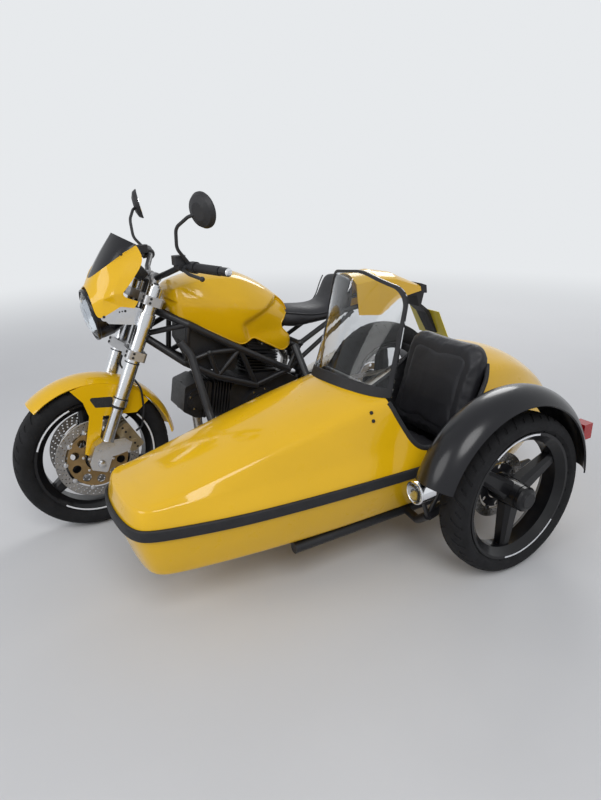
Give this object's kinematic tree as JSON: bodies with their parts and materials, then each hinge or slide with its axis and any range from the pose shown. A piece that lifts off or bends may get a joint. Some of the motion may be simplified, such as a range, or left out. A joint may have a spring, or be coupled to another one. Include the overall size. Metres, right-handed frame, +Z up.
{
  "type": "motorcycle with sidecar",
  "caption": "Yellow naked sport motorcycle with a one-seat sidecar on its left: rolling wheels, steering fork, hollow cockpit.",
  "frame": {"origin": "middle of the footprint of the outfit's bounding box, on the ground", "axes": "+X forward, +Y to the rider's left where the sidecar is, +Z up"},
  "size_m": [2.12, 1.6154, 1.2763],
  "materials": {
    "tyre_rubber": "matt",
    "black_cast": "gloss",
    "disc_steel": "brushed",
    "silver_alloy": "satin",
    "caliper_gold": "satin",
    "steel": "satin",
    "black_metal": "semi gloss",
    "rubber": "matt",
    "black_plastic": "matt",
    "lens": "clear",
    "smoked_screen": "gloss",
    "yellow_paint": "gloss",
    "black_paint": "gloss",
    "engine_alloy": "satin",
    "exhaust_steel": "satin",
    "seat_vinyl": "satin",
    "clear_screen": "clear",
    "lamp_lens": "gloss",
    "plate_yellow": "satin"
  },
  "bodies": {
    "chassis": {"drive_chain": "disc_steel", "frame_left": "black_metal", "frame_right": "black_metal", "frame_head": "black_metal", "subframe": "black_metal", "engine_cases": "engine_alloy", "front_cylinder": "engine_alloy", "rear_cylinder": "engine_alloy", "airbox": "black_plastic", "fuel_tank": "yellow_paint", "rider_seat": "seat_vinyl", "tail_cowl": "yellow_paint", "tail_carrier": "black_plastic", "number_plate": "plate_yellow", "swingarm": "black_metal", "rear_axle": "steel", "rear_shock": "black_metal", "exhaust_system": "exhaust_steel", "footrests": "steel", "hull_lower": "yellow_paint", "hull_upper": "yellow_paint", "belt_trim": "rubber", "windscreen": "clear_screen", "screen_trim": "rubber", "sidecar_seat": "seat_vinyl", "cockpit_roll": "seat_vinyl", "grab_handle": "black_metal", "chassis_rails": "black_metal", "chassis_crossbars": "black_metal", "sidecar_arm": "black_metal", "sidecar_mudguard": "black_paint", "sidecar_lamps": "lamp_lens", "sidecar_struts": "black_metal"},
    "steering": {"front_axle": "steel", "fork_tubes": "silver_alloy", "fork_sliders": "silver_alloy", "front_calipers": "caliper_gold", "lower_yoke": "silver_alloy", "top_yoke": "silver_alloy", "handlebar": "black_metal", "grips": "rubber", "controls": "black_plastic", "mirrors": "black_plastic", "headlight_shell": "black_metal", "headlight_lens": "lens", "lamp_brackets": "silver_alloy", "nose_fairing": "yellow_paint", "fly_screen": "smoked_screen", "instruments": "black_plastic", "front_mudguard": "yellow_paint"},
    "front_wheel": {"front_tyre": "tyre_rubber", "front_rim": "black_cast", "front_discs": "disc_steel"},
    "rear_wheel": {"rear_tyre": "tyre_rubber", "rear_rim": "black_cast", "rear_disc": "disc_steel", "rear_sprocket": "disc_steel"},
    "sidecar_wheel": {"sidecar_tyre": "tyre_rubber", "sidecar_rim": "black_cast", "sidecar_disc": "disc_steel"}
  },
  "joints": [
    {"name": "steering_turn", "type": "hinge", "parent": "chassis", "child": "steering", "pos_m": [0.51843, -0.36526, 0.78066], "axis": [-0.4067, 0, 0.9135], "range_deg": [-26, 26]},
    {"name": "front_wheel_spin", "type": "hinge", "parent": "steering", "child": "front_wheel", "pos_m": [0.762, -0.36526, 0.298], "axis": [0, 1, 0], "continuous": true},
    {"name": "rear_wheel_spin", "type": "hinge", "parent": "chassis", "child": "rear_wheel", "pos_m": [-0.668, -0.36526, 0.315], "axis": [0, 1, 0], "continuous": true},
    {"name": "sidecar_wheel_spin", "type": "hinge", "parent": "chassis", "child": "sidecar_wheel", "pos_m": [-0.382, 0.72574, 0.288], "axis": [0, 1, 0], "continuous": true}
  ]
}
